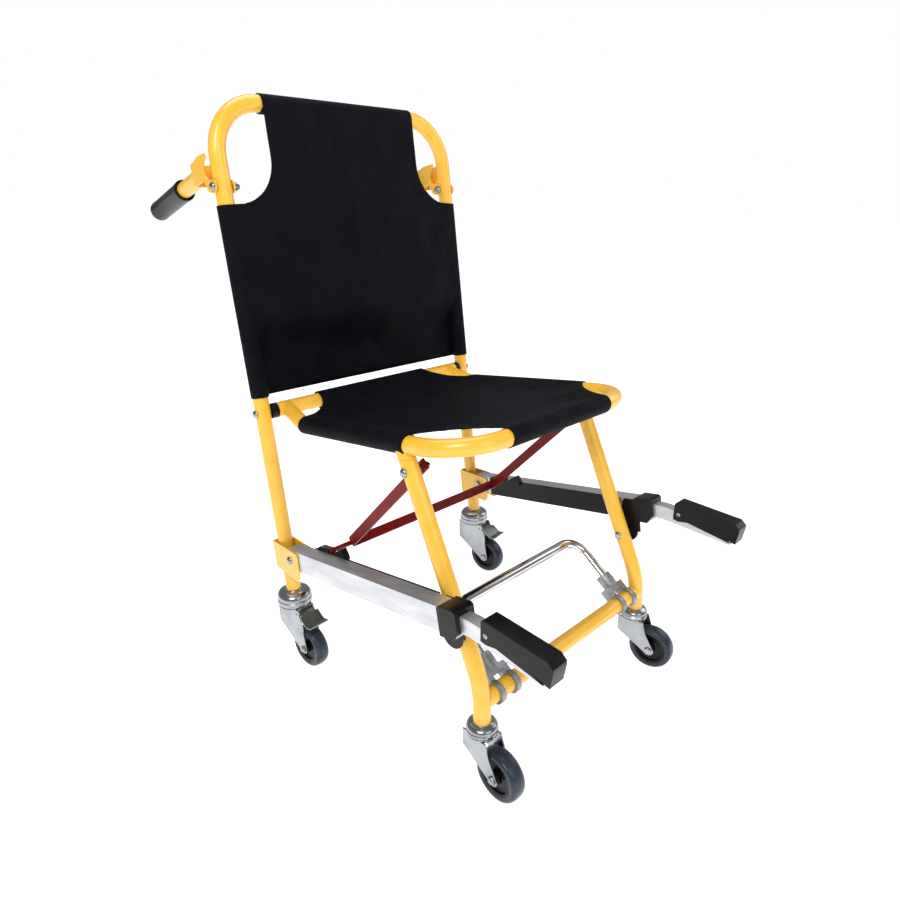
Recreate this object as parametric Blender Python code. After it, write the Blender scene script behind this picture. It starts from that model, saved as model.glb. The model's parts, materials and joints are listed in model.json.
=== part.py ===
"""Folding stair chair: tube frame, canvas back and seat, carrying rails and casters.

Metres, +Z up, the chair faces -Y. "left" is the side at -X. Every piece is one closed
solid with its origin on the joint axis of the body it belongs to.
"""
import math

import bmesh
import bpy
from mathutils import Matrix, Vector

for old in list(bpy.data.objects):
    bpy.data.objects.remove(old, do_unlink=True)

# ---------------------------------------------------------------- driving dimensions
GAP = 0.0003                 # between pieces that are welded, glued or sewn on
RUN = 0.00005                # radial clearance of a pin in its hole

TUBE_R = 0.0125              # 25 mm tube everywhere
TUBE_WALL = 0.0015
PIN_R = 0.004                # M8 bolts

# back frame, measured along the reclined uprights from their lower ends
UPRIGHT_X = 0.226
RECLINE = math.radians(6.8)
REAR_END_Z = 0.139
TOP_S = 0.778
TOP_BEND = 0.078
SEAT_PIVOT_S = 0.314
REAR_HANDLE_S = 0.659

# seat frame
SEAT_CLEAR = 0.009               # seat tube inside the upright
SEAT_TAPER = 0.010               # side tubes come in at the cross tube
SEAT_FRONT = (-0.386, 0.480)     # y, z of the front tube's axis
SEAT_SLOPE = math.radians(6.7)
SEAT_BEND = 0.077
BUSH_FLANGE = 0.0115
BUSH_SPIGOT = 0.018
KINK_Y = -0.030                  # where the side tubes turn up to the cross tube
LEG_PIVOT = (-0.293, 0.433)
LAP_R = 0.0178                   # half-lap shoulder round the leg pivot

# front legs
LEG_ANGLE = math.radians(25.3)
LEG_FOOT_Y = -0.4235
LEG_BEND = 0.15
FRONT_END_Z = 0.1045
CROSS_Z = 0.135
STUD_Z = 0.233

# carrying rails
RAIL_PIVOT = (-0.028, 0.211)
RAIL_ANGLE = math.radians(9.8)
RAIL_H = 0.0355
RAIL_W = 0.027
RAIL_WALL = 0.002
RAIL_LENGTH = 0.400              # pivot to front end
RAIL_TAIL = 0.012                # behind the pivot
CHANNEL_T = 0.003
COLLAR_T = 0.003
COLLAR_LENGTH = 0.034
LOBE_R = 0.019
CATCH_AT = 0.084                 # notch, along the rail from its pivot
CATCH_H = 0.014
CATCH_BACK = 0.040               # notch to the catch's rear end
CATCH_TOP = 0.031                # notch to the top of its front ramp
CATCH_FRONT = 0.040
CATCH_W = 0.0105

# telescoping handles
HANDLE_H = 0.023
HANDLE_W = 0.019
HANDLE_WALL = 0.002
HANDLE_INSIDE = 0.27
HANDLE_BEND_AT = 0.014           # ahead of the collar
HANDLE_NOSE = math.radians(-3.0)
GRIP_LENGTH = 0.107
GRIP_H = 0.031
GRIP_W = 0.027
GRIP_GAP = 0.022                 # bend to grip

# brace
BRACE_CLEAR = 0.005              # arm to seat tube
BRACE_W = 0.016
BRACE_T = 0.004
BRACE_PIN_R = 0.004

# footrest
FOOT_ARM_CLEAR = 0.0235          # arm's axis inside the brace's
FOOT_BAR = (-0.320, 0.2125)
FOOT_R = 0.009
FOOT_BEND = 0.034
CLAMP_RING_W = 0.009
CLAMP_RING_X = 0.0155
CLAMP_WALL = 0.0035
SOCKET_R = 0.0125
SOCKET_LENGTH = 0.052

# rear handles
REAR_TILT = math.radians(-14.5)
REAR_RISE = 0.034                # handle axis above its pivot
REAR_WEB = 0.060                 # pivot to web, along the handle
REAR_END = 0.266
REAR_GRIP = 0.134
REAR_GRIP_R = 0.0165
SHEET = 0.0025                   # folded sheet of every bracket
EAR_R = 0.0095

# casters
WHEEL_R = 0.0375
WHEEL_W = 0.025
CORE_R = 0.0275
TRAIL = 0.036
FORK_GAP = 0.0142
FORK_T = 0.0025
KING_R = 0.004
FRONT_CUP = (0.0225, 0.016)      # radius, height
REAR_CUP = (0.0300, 0.026)
PLATE_T = 0.003
CASTER_TURN = {"rear_left": 4, "rear_right": 9, "front_left": -2, "front_right": 10}

# canvas
CLOTH = 0.0018
BACK_LOW_S = 0.340
SAG_S = (0.392, 0.482)           # where the sheet goes from the rear of the tubes to the front
SHOULDER_S = 0.632
NECK_X = 0.147
NECK_R = 0.068
FRONT_CUT = (0.0807, -0.0594, 0.175)   # from the seat corner: x, y, radius
REAR_CUT = (0.011, 0.0096, 0.083)

YELLOW = ((0.91, 0.50, 0.045), 0.32, 0.0)
CANVAS = ((0.012, 0.012, 0.022), 0.85, 0.0)
BLACK = ((0.015, 0.015, 0.017), 0.45, 0.0)
ALU = ((0.72, 0.73, 0.75), 0.33, 1.0)
CHROME = ((0.80, 0.81, 0.83), 0.10, 1.0)
ZINC = ((0.62, 0.64, 0.66), 0.28, 1.0)
CAST = ((0.42, 0.43, 0.44), 0.45, 0.9)
RED = ((0.30, 0.012, 0.012), 0.40, 0.0)
TYRE = ((0.16, 0.19, 0.23), 0.40, 0.0)
PEDAL = ((0.30, 0.32, 0.31), 0.45, 0.7)


# ---------------------------------------------------------------- shape helpers
def circle(r, n=16):
    return [(r * math.cos(2 * math.pi * k / n), r * math.sin(2 * math.pi * k / n)) for k in range(n)]


def box_section(w, h):
    return [(-w / 2, -h / 2), (w / 2, -h / 2), (w / 2, h / 2), (-w / 2, h / 2)]


def rounded(points, radii, steps=5):
    """The path through points with its inner corners turned into arcs."""
    pts = [Vector(p) for p in points]
    out = [pts[0]]
    for i, r in zip(range(1, len(pts) - 1), radii):
        a, c = (pts[i - 1] - pts[i]).normalized(), (pts[i + 1] - pts[i]).normalized()
        half = a.angle(c) / 2
        centre = pts[i] + (a + c).normalized() * (r / math.sin(half))
        start, end = pts[i] + a * (r / math.tan(half)), pts[i] + c * (r / math.tan(half))
        turn = (start - centre).angle(end - centre)
        axis = (start - centre).cross(end - centre).normalized()
        for k in range(steps + 1):
            out.append(centre + Matrix.Rotation(turn * k / steps, 3, axis) @ (start - centre))
    return out + [pts[-1]]


def rings(bm, path, section, side):
    """Vertices of a section carried along a path without twist; u runs along side."""
    out, b = [], Vector(side).normalized()
    for i, p in enumerate(path):
        t = Vector((0, 0, 0))
        if i:
            t += (p - path[i - 1]).normalized()
        if i < len(path) - 1:
            t += (path[i + 1] - p).normalized()
        t.normalize()
        b = (b - t * b.dot(t)).normalized()
        a = t.cross(b)
        out.append([bm.verts.new(p + b * u + a * v) for u, v in section])
    return out


def skin(bm, loops):
    for lo, hi in zip(loops, loops[1:]):
        for k in range(len(lo)):
            j = (k + 1) % len(lo)
            bm.faces.new((lo[k], lo[j], hi[j], hi[k]))


def closed(bm):
    bmesh.ops.recalc_face_normals(bm, faces=bm.faces)
    return bm


def bar(path, section, side=(1, 0, 0)):
    """A solid bar."""
    bm = bmesh.new()
    loops = rings(bm, [Vector(p) for p in path], section, side)
    skin(bm, loops)
    bm.faces.new(loops[0])
    bm.faces.new(loops[-1])
    return closed(bm)


def pipe(path, outer, inner, side=(1, 0, 0), blind=None):
    """A hollow tube, open at both ends, or closed at its far end where blind is the bore's path."""
    bm = bmesh.new()
    out = rings(bm, path, outer, side)
    bore = rings(bm, blind or path, inner, side)
    skin(bm, out)
    skin(bm, bore)
    skin(bm, [out[0], bore[0]])
    if blind:
        bm.faces.new(out[-1])
        bm.faces.new(bore[-1])
    else:
        skin(bm, [out[-1], bore[-1]])
    return closed(bm)


def rod(a, b, r, n=16):
    a, b = Vector(a), Vector(b)
    side = (0, 0, 1) if abs((b - a).normalized().z) < 0.9 else (1, 0, 0)
    return bar([a, b], circle(r, n), side)


def rod_x(y, z, x0, x1, r, n=16):
    return rod((x0, y, z), (x1, y, z), r, n)


def hole_x(y, z, x0, x1, r=PIN_R, n=16):
    """A cutter whose flats, not its corners, clear a pin of radius r along X."""
    return rod_x(y, z, x0, x1, (r + RUN) / math.cos(math.pi / n), n)


def lathe(profile, place, ring=False, n=16):
    """A profile of (radius, height) turned about local Z, then put in place by a matrix.

    A ring closes on itself round a hole; any other profile starts and ends on the axis.
    """
    bm = bmesh.new()
    loops = [[bm.verts.new((0, 0, h))] if r == 0 else
             [bm.verts.new((x, y, h)) for x, y in circle(r, n)] for r, h in profile]
    for lo, hi in zip(loops, loops[1:] + (loops[:1] if ring else [])):
        for k in range(n):
            j = (k + 1) % n
            quad = [lo[k % len(lo)], lo[j % len(lo)], hi[j % len(hi)], hi[k % len(hi)]]
            face = [v for i, v in enumerate(quad) if v not in quad[:i]]
            if len(face) > 2:
                bm.faces.new(face)
    bm.transform(place)
    return closed(bm)


def prism_x(outline, x0, x1):
    """A (y, z) outline extruded along X."""
    bm = bmesh.new()
    ends = [[bm.verts.new((x, y, z)) for y, z in outline] for x in (x0, x1)]
    skin(bm, ends)
    bm.faces.new(ends[0])
    bm.faces.new(ends[1])
    return closed(bm)


def arc(cx, cy, r, a0, a1, n=6):
    """Points on an arc from angle a0 to a1, in degrees."""
    steps = [math.radians(a0 + (a1 - a0) * k / n) for k in range(n + 1)]
    return [(cx + r * math.cos(a), cy + r * math.sin(a)) for a in steps]


def combine(a, b, how):
    """One exact boolean on two bmeshes; both are used up."""
    obs = []
    for bm in (a, b):
        me = bpy.data.meshes.new("work")
        bm.to_mesh(me)
        bm.free()
        ob = bpy.data.objects.new("work", me)
        bpy.context.collection.objects.link(ob)
        obs.append(ob)
    mod = obs[0].modifiers.new("cut", "BOOLEAN")
    mod.solver, mod.operation, mod.object = "EXACT", how, obs[1]
    bpy.context.view_layer.update()
    out = bmesh.new()
    out.from_object(obs[0], bpy.context.evaluated_depsgraph_get())
    for ob in obs:
        me = ob.data
        bpy.data.objects.remove(ob)
        bpy.data.meshes.remove(me)
    bmesh.ops.remove_doubles(out, verts=out.verts, dist=1e-6)
    bmesh.ops.dissolve_degenerate(out, edges=out.edges, dist=1e-6)
    return out


def cut(a, *tools):
    for b in tools:
        a = combine(a, b, "DIFFERENCE")
    return a


def join(a, *more):
    for b in more:
        a = combine(a, b, "UNION")
    return a


def piece(name, bm, look, pivot=(0, 0, 0)):
    """Store a finished solid, with its origin on its body's joint."""
    me = bpy.data.meshes.new(name)
    bm.transform(Matrix.Translation(-Vector(pivot)))
    bm.to_mesh(me)
    bm.free()
    mat = bpy.data.materials.new(name)
    mat.use_nodes = True
    node = mat.node_tree.nodes["Principled BSDF"]
    colour, rough, metal = look
    node.inputs["Base Color"].default_value = (*colour, 1)
    node.inputs["Roughness"].default_value = rough
    node.inputs["Metallic"].default_value = metal
    me.materials.append(mat)
    ob = bpy.data.objects.new(name, me)
    ob.location = pivot
    bpy.context.collection.objects.link(ob)
    return ob


# ---------------------------------------------------------------- sizes that follow
SEAT_X = UPRIGHT_X - 2 * TUBE_R - SEAT_CLEAR
SEAT_REAR_X = SEAT_X - SEAT_TAPER
LEG_X = SEAT_X
BRACE_X = SEAT_X - TUBE_R - BRACE_CLEAR - BRACE_T / 2
FOOT_ARM_X = BRACE_X - FOOT_ARM_CLEAR
BUSH_X0 = UPRIGHT_X - TUBE_R - GAP       # bush between upright and cross tube
BUSH_X1 = BUSH_X0 - BUSH_FLANGE - BUSH_SPIGOT
CLEVIS_IN = TUBE_R + 2 * GAP
CLEVIS_OUT = CLEVIS_IN + SHEET
SLEEVE_IN = TUBE_R + GAP
SLEEVE_OUT = SLEEVE_IN + CLOTH

SIDES = (("left", -1), ("right", 1))
TURN_X = Matrix.Rotation(math.pi / 2, 4, "Y")     # lathe axis Z to X
OUTER, INNER = circle(TUBE_R), circle(TUBE_R - TUBE_WALL)


def bolt(y, z, x_head, x_nut, sx, r=PIN_R, tail=0.004):
    """A domed bolt along X with its nut; x_head and x_nut are the faces that they bear on."""
    head, nut = r * 1.7, r * 1.6
    lo, hi = -x_head, -x_nut
    dome = [(0, lo - 0.0045), (head * 0.55, lo - 0.0040), (head * 0.9, lo - 0.002), (head, lo)]
    end = [(r, lo), (r, hi), (nut, hi), (nut, hi + 0.005), (r, hi + 0.005), (r, hi + 0.005 + tail),
           (0, hi + 0.005 + tail)]
    place = Matrix.Translation((0, y, z)) @ (TURN_X if sx < 0 else TURN_X.inverted())
    return lathe(dome + end, place, n=16)


# ---------------------------------------------------------------- places
def upright(s, x=0.0, ahead=0.0):
    """A point on the uprights' plane: s along them, ahead of it."""
    c, q = math.cos(RECLINE), math.sin(RECLINE)
    return Vector((x, s * q - ahead * c, REAR_END_Z + s * c + ahead * q))


def seat_line(y, x=0.0):
    return Vector((x, y, SEAT_FRONT[1] + math.tan(SEAT_SLOPE) * (SEAT_FRONT[0] - y)))


def along_rail(d, drop=0.0, x=0.0):
    """A point d ahead of the rail pivot, drop below the rail's centreline."""
    c, q = math.cos(RAIL_ANGLE), math.sin(RAIL_ANGLE)
    return Vector((x, RAIL_PIVOT[0] - d * c - drop * q, RAIL_PIVOT[1] + d * q - drop * c))


SEAT_PIVOT = upright(SEAT_PIVOT_S)
REAR_PIVOT = upright(REAR_HANDLE_S)
LEG_DIR = Vector((0, -math.sin(LEG_ANGLE), -math.cos(LEG_ANGLE)))
B = Vector((0, *LEG_PIVOT))
STUD = B + LEG_DIR * ((B.z - STUD_Z) / -LEG_DIR.z)
CROSS = Vector((0, LEG_FOOT_Y, CROSS_Z))
C = Vector((0, *RAIL_PIVOT))
BRACE_PIN = along_rail(CATCH_AT, -RAIL_H / 2 - BRACE_PIN_R - 2 * GAP)


# ---------------------------------------------------------------- back frame
def build_back():
    path = rounded([upright(0, -UPRIGHT_X), upright(TOP_S, -UPRIGHT_X),
                    upright(TOP_S, UPRIGHT_X), upright(0, UPRIGHT_X)], [TOP_BEND] * 2)
    tube = pipe(path, OUTER, INNER, (0, -math.cos(RECLINE), math.sin(RECLINE)))
    for p in (SEAT_PIVOT, REAR_PIVOT):
        for sx in (-1, 1):
            tube = cut(tube, hole_x(p.y, p.z, sx * (UPRIGHT_X - 0.02), sx * (UPRIGHT_X + 0.02)))
    piece("back_frame_tube", tube, YELLOW)

    ear_in = RAIL_W / 2 + GAP
    ear_out = ear_in + SHEET
    for side, sx in SIDES:
        # folded bracket round the upright; its ears take the rail's end
        x = sx * UPRIGHT_X
        s0 = (C.z - REAR_END_Z) / math.cos(RECLINE)
        outline = [(-0.0128 - SHEET, 0.020), (0.060, 0.012), (0.062, 0.008), (0.060, -0.032),
                   (0.052, -0.040), (0.030, -0.036), (-0.0128 - SHEET, -0.030)]
        yz = [upright(s0 + s, 0, a)[1:] for a, s in outline]
        bracket = prism_x(yz, x - ear_out, x + ear_out)
        inside = [upright(s0 + s, 0, a)[1:] for a, s in
                  ((-0.0128, 0.06), (0.10, 0.06), (0.10, -0.07), (-0.0128, -0.07))]
        bracket = cut(bracket, prism_x(inside, x - ear_in, x + ear_in),
                      hole_x(C.y, C.z, x - 0.03, x + 0.03))
        piece(f"rail_bracket_{side}", bracket, YELLOW)
        piece(f"rail_bolt_{side}", bolt(C.y, C.z, UPRIGHT_X + ear_out + GAP, UPRIGHT_X - ear_out - GAP, sx,
                                        tail=0), ZINC)
        piece(f"seat_bolt_{side}", bolt(SEAT_PIVOT.y, SEAT_PIVOT.z, UPRIGHT_X + TUBE_R + GAP,
                                        BUSH_X1 - GAP, sx, tail=0), ZINC)
        piece(f"rear_handle_bolt_{side}", bolt(REAR_PIVOT.y, REAR_PIVOT.z, UPRIGHT_X + CLEVIS_OUT + GAP,
                                               UPRIGHT_X - CLEVIS_OUT - GAP, sx), ZINC)
    build_back_canvas()


def build_back_canvas():
    # low down the sheet gives way to the rear, which leaves room for the folded seat
    mid = (SLEEVE_IN + SLEEVE_OUT) / 2
    line = [(BACK_LOW_S, -mid), (SAG_S[0], -mid), (SAG_S[1], mid), (TOP_S, mid)]
    outline = [(s, a - CLOTH / 2) for s, a in line] + [(s, a + CLOTH / 2) for s, a in line[::-1]]
    sheet = prism_x([upright(s, 0, a)[1:] for s, a in outline], -UPRIGHT_X, UPRIGHT_X)
    for sx in (-1, 1):
        sheet = join(sheet, rod(upright(BACK_LOW_S, sx * UPRIGHT_X), upright(SHOULDER_S + 0.1, sx * UPRIGHT_X),
                                SLEEVE_OUT))
    sheet = join(sheet, rod(upright(TOP_S, -UPRIGHT_X), upright(TOP_S, UPRIGHT_X), SLEEVE_OUT))
    far = UPRIGHT_X + 0.08
    neck = [(far, SHOULDER_S)] + arc(NECK_X + NECK_R, SHOULDER_S + NECK_R, NECK_R, 270, 180, 8) + \
        [(NECK_X, TOP_S + 0.08), (far, TOP_S + 0.08)]
    for sx in (-1, 1):
        bm = bmesh.new()
        ends = [[bm.verts.new(upright(s, sx * x, a)) for x, s in neck] for a in (-0.04, 0.04)]
        skin(bm, ends)
        bm.faces.new(ends[0])
        bm.faces.new(ends[1])
        sheet = cut(sheet, closed(bm))
    for sx in (-1, 1):
        sheet = cut(sheet, rod(upright(0.2, sx * UPRIGHT_X), upright(TOP_S, sx * UPRIGHT_X), SLEEVE_IN))
    sheet = cut(sheet, rod(upright(TOP_S, -UPRIGHT_X), upright(TOP_S, UPRIGHT_X), SLEEVE_IN))
    piece("back_canvas", sheet, CANVAS)


# ---------------------------------------------------------------- seat
def seat_path():
    side = [Vector((SEAT_REAR_X, SEAT_PIVOT.y, SEAT_PIVOT.z)), seat_line(KINK_Y, SEAT_X),
            seat_line(SEAT_FRONT[0], SEAT_X)]
    mirror = [Vector((-p.x, p.y, p.z)) for p in side]
    return rounded(mirror + side[::-1], [0.04, SEAT_BEND, SEAT_BEND, 0.04])


def lap_end(toward, x):
    """A cutter that rounds a half-lap's end about the leg pivot, on the side it points toward."""
    a = math.degrees(math.atan2(toward.z, toward.y))
    outline = arc(B.y, B.z, LAP_R - GAP, a - 75, a + 75, 12) + arc(B.y, B.z, 0.05, a + 75, a - 75, 4)
    return prism_x(outline, x - 0.02, x + 0.02)


def build_seat():
    p = SEAT_PIVOT
    tube = pipe(seat_path(), OUTER, INNER, (1, 0, 0))
    tube = cut(tube, rod((-0.3, p.y, p.z), (0.3, p.y, p.z), TUBE_R + GAP))
    # keep only what is ahead of the cross tube
    tube = cut(tube, prism_x([(p.y, p.z - 0.1), (p.y + 0.1, p.z - 0.1), (p.y + 0.1, p.z + 0.1),
                              (p.y, p.z + 0.1)], -0.3, 0.3))
    piece("seat_frame_tube", tube, YELLOW, p)
    end = BUSH_X0 - BUSH_FLANGE - GAP
    piece("seat_cross_tube", pipe([Vector((-end, p.y, p.z)), Vector((end, p.y, p.z))], OUTER, INNER,
                                  (0, 0, 1)), YELLOW, p)
    for side, sx in SIDES:
        place = Matrix.Translation(p) @ (TURN_X if sx < 0 else TURN_X.inverted())
        spigot = TUBE_R - TUBE_WALL - GAP
        bore = (PIN_R + RUN) / math.cos(math.pi / 16)
        piece(f"seat_bush_{side}", lathe([(bore, -BUSH_X0), (TUBE_R, -BUSH_X0),
                                          (TUBE_R, -BUSH_X0 + BUSH_FLANGE), (spigot, -BUSH_X0 + BUSH_FLANGE),
                                          (spigot, -BUSH_X1), (bore, -BUSH_X1)], place, ring=True,
                                         n=16), BLACK, p)
        # lug under the side tube: its lower end is the inner half of the leg's lap joint
        x = sx * SEAT_X
        top = B - LEG_DIR * 0.06
        low = B + LEG_DIR * (LAP_R + 0.004)
        lug = rod((x, top.y, top.z), (x, low.y, low.z), TUBE_R)
        back, front = seat_line(KINK_Y, x), seat_line(SEAT_FRONT[0], x)
        above = [(-0.6, 0.0), (0.2, 0.0), (0.2, 0.2), (-0.6, 0.2)]
        roof = [seat_line(y)[1:] if z == 0 else (y, seat_line(y).z + z) for y, z in above]
        lug = cut(lug, prism_x(roof, x - 0.03, x + 0.03), rod(back, front, TUBE_R + GAP), lap_end(LEG_DIR, x),
                  rod_x(B.y, B.z, x + sx * -GAP / 2, x + sx * 0.02, LAP_R, 32),
                  hole_x(B.y, B.z, x - 0.02, x + 0.02))
        piece(f"seat_lug_{side}", lug, YELLOW, p)
        piece(f"leg_bolt_{side}", bolt(B.y, B.z, SEAT_X + TUBE_R + GAP, BRACE_X - BRACE_T / 2 - GAP, sx), ZINC, p)
    build_seat_canvas()


def build_seat_canvas():
    p = SEAT_PIVOT
    line = [seat_line(SEAT_FRONT[0]), seat_line(KINK_Y), p]
    low, high = SLEEVE_IN, SLEEVE_OUT
    outline = [(q.y, q.z + low) for q in line] + [(q.y, q.z + high) for q in line[::-1]]
    sheet = prism_x(outline, -SEAT_X, SEAT_X)
    front, kink = SEAT_FRONT[0], KINK_Y
    for sx in (-1, 1):
        sheet = join(sheet, rod(seat_line(front, sx * SEAT_X), seat_line(kink, sx * SEAT_X), SLEEVE_OUT))
    sheet = join(sheet, rod((-SEAT_X, *SEAT_FRONT), (SEAT_X, *SEAT_FRONT), SLEEVE_OUT))
    sheet = join(sheet, rod((-SEAT_X, p.y, p.z), (SEAT_X, p.y, p.z), SLEEVE_OUT))
    for sx in (-1, 1):
        for cx, cy, r, y0 in ((*FRONT_CUT, front), (*REAR_CUT, p.y)):
            centre = (sx * (SEAT_X + cx), y0 + cy)
            sheet = cut(sheet, rod((*centre, 0.3), (*centre, 0.6), r, 48))
    for sx in (-1, 1):
        lug_top, lug_end = B - LEG_DIR * 0.05, B
        sheet = cut(sheet, rod(lug_top + Vector((sx * SEAT_X, 0, 0)), lug_end + Vector((sx * SEAT_X, 0, 0)),
                               TUBE_R + GAP))
    sheet = cut(sheet, bar(seat_path(), circle(SLEEVE_IN)), rod((-0.3, *SEAT_FRONT), (0.3, *SEAT_FRONT), SLEEVE_IN),
                rod((-0.3, p.y, p.z), (0.3, p.y, p.z), SLEEVE_IN))
    piece("seat_canvas", sheet, CANVAS, p)


# ---------------------------------------------------------------- front legs, brace, footrest
def build_legs():
    knee = B + LEG_DIR * ((B.y - LEG_FOOT_Y) / -LEG_DIR.y)
    for side, sx in SIDES:
        x = sx * LEG_X
        shift = Vector((x, 0, 0))
        foot = Vector((x, LEG_FOOT_Y, FRONT_END_Z))
        path = rounded([foot, knee + shift, B - LEG_DIR * (LAP_R + 0.004) + shift], [LEG_BEND])
        bore = rounded([foot, knee + shift, B + LEG_DIR * 0.03 + shift], [LEG_BEND])
        leg = pipe(path, OUTER, INNER, (1, 0, 0), blind=bore)
        leg = cut(leg, lap_end(-LEG_DIR, x), rod_x(B.y, B.z, x - sx * -GAP / 2, x - sx * 0.02, LAP_R, 32),
                  hole_x(B.y, B.z, x - 0.02, x + 0.02),
                  hole_x(STUD.y, STUD.z, x - 0.02, x + 0.02))
        piece(f"front_leg_{side}", leg, YELLOW, B)
        stud = lathe([(0, -LEG_X + TUBE_R + 0.0048), (0.0045, -LEG_X + TUBE_R + 0.0042),
                      (0.0068, -LEG_X + TUBE_R + GAP), (PIN_R, -LEG_X + TUBE_R + GAP),
                      (PIN_R, -LEG_X - TUBE_R - 0.0006), (0, -LEG_X - TUBE_R - 0.0006)],
                     Matrix.Translation((0, STUD.y, STUD.z)) @ (TURN_X if sx < 0 else TURN_X.inverted()), n=16)
        piece(f"rail_stud_{side}", stud, ZINC, B)
    cross = pipe([Vector((-LEG_X, LEG_FOOT_Y, CROSS_Z)), Vector((LEG_X, LEG_FOOT_Y, CROSS_Z))], OUTER, INNER,
                 (0, 0, 1))
    for sx in (-1, 1):
        foot, top = Vector((sx * LEG_X, LEG_FOOT_Y, 0.05)), knee + Vector((sx * LEG_X, 0, 0))
        shape = rounded([foot, top, B + Vector((sx * LEG_X, 0, 0))], [LEG_BEND])
        cross = cut(cross, bar(shape, circle(TUBE_R + GAP), (1, 0, 0)))
    piece("front_cross_tube", cross, YELLOW, B)


def build_brace():
    pin = BRACE_PIN
    arm = (B - pin).normalized()
    ends = [Vector((sx * BRACE_X, 0, 0)) for sx in (-1, 1)]
    past = arm * 0.010
    path = rounded([ends[0] + B + past, ends[0] + pin, ends[1] + pin, ends[1] + B + past], [0.008] * 2, 4)
    normal = Vector((1, 0, 0)).cross(arm)
    brace = bar(path, box_section(BRACE_W, BRACE_T), normal)
    reach = UPRIGHT_X - RAIL_W / 2 - 0.0015
    inset = BRACE_X - BRACE_T
    for sx in (-1, 1):
        brace = join(brace, rod_x(pin.y, pin.z, sx * inset, sx * reach, BRACE_PIN_R))
        brace = cut(brace, hole_x(B.y, B.z, sx * (BRACE_X - 0.01), sx * (BRACE_X + 0.0055)))
    piece("brace", brace, RED, B)


def build_footrest():
    bar_at = Vector((0, *FOOT_BAR))
    arm = (bar_at - CROSS).normalized()
    path = rounded([Vector((sx * FOOT_ARM_X, 0, 0)) + q for sx, q in
                    ((-1, CROSS + arm * 0.024), (-1, bar_at), (1, bar_at), (1, CROSS + arm * 0.024))],
                   [FOOT_BEND] * 2)
    up = Vector((1, 0, 0)).cross(arm)
    piece("footrest_bar", pipe(path, circle(FOOT_R), circle(FOOT_R - 0.0012), up), CHROME, CROSS)
    ring_r = TUBE_R + 0.0004
    for side, sx in SIDES:
        x = sx * FOOT_ARM_X
        body = rod(CROSS + arm * 0.0205 + Vector((x, 0, 0)), CROSS + arm * SOCKET_LENGTH + Vector((x, 0, 0)),
                   SOCKET_R)
        low, high = ring_r + 0.001, 0.030
        for dx in (-1, 1):
            xr = x + dx * CLAMP_RING_X
            body = join(body, rod_x(CROSS.y, CROSS.z, xr - CLAMP_RING_W / 2, xr + CLAMP_RING_W / 2,
                                    ring_r + CLAMP_WALL, 24))
        # yoke from the socket down to both rings
        yoke = bar([CROSS + arm * low + Vector((x, 0, 0)), CROSS + arm * high + Vector((x, 0, 0))],
                   box_section(2 * CLAMP_RING_X + CLAMP_RING_W, 0.020), (1, 0, 0))
        slot = bar([CROSS + Vector((x, 0, 0)), CROSS + arm * (ring_r + 0.006) + Vector((x, 0, 0))],
                   box_section(2 * CLAMP_RING_X - CLAMP_RING_W, 0.05), (1, 0, 0))
        body = cut(join(body, yoke), slot, rod_x(CROSS.y, CROSS.z, x - 0.03, x + 0.03, ring_r, 24),
                   rod(CROSS + arm * 0.0236 + Vector((x, 0, 0)), CROSS + arm * 0.08 + Vector((x, 0, 0)),
                       FOOT_R + GAP))
        n = up if up.z > 0 else -up
        screw = CROSS + arm * (SOCKET_LENGTH - 0.012) + Vector((x, 0, 0))
        body = join(body, rod(screw + n * (SOCKET_R - 0.001), screw + n * (SOCKET_R + 0.002), 0.0045, 12))
        piece(f"footrest_clamp_{side}", body, CAST, CROSS)


# ---------------------------------------------------------------- rails and front handles
def build_rails():
    side_axis = (1, 0, 0)
    for side, sx in SIDES:
        x = sx * UPRIGHT_X
        rail = pipe([along_rail(-RAIL_TAIL, 0, x), along_rail(RAIL_LENGTH, 0, x)],
                    box_section(RAIL_W, RAIL_H),
                    box_section(RAIL_W - 2 * RAIL_WALL, RAIL_H - 2 * RAIL_WALL), side_axis)
        rail = cut(rail, hole_x(C.y, C.z, x - 0.03, x + 0.03))
        piece(f"rail_{side}", rail, ALU, C)

        # black moulding on the rail's inner face, with the brace's two-humped catch
        face = UPRIGHT_X - RAIL_W / 2 - GAP
        d0, d1 = 0.036, RAIL_LENGTH - COLLAR_LENGTH - 0.022
        h = RAIL_H / 2
        strip = [(d0, -h), (d0, h), (d1, h), (d1, -h * 0.2), (d1 - 0.012, -h)]
        strip = prism_x([along_rail(d, -v)[1:] for d, v in strip], sx * (face - CHANNEL_T), sx * face)
        n, notch = CATCH_AT, BRACE_PIN_R + GAP
        humps = [(n - CATCH_BACK, h - 0.004), (n - CATCH_BACK, h + 0.002), (n - CATCH_BACK + 0.010, h + CATCH_H / 2),
                 (n - notch - 0.006, h + CATCH_H / 2), (n - notch, h + 0.0075), (n - notch, h + GAP),
                 (n + notch, h + GAP), (n + CATCH_TOP, h + CATCH_H), (n + CATCH_TOP + 0.003, h + CATCH_H),
                 (n + CATCH_FRONT, h + 0.002), (n + CATCH_FRONT, h - 0.004)]
        block = prism_x([along_rail(d, -v)[1:] for d, v in humps], sx * (face - CATCH_W), sx * face)
        piece(f"rail_channel_{side}", join(strip, block), BLACK, C)
        build_collar(side, sx)
        build_handle(side, sx)


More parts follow.
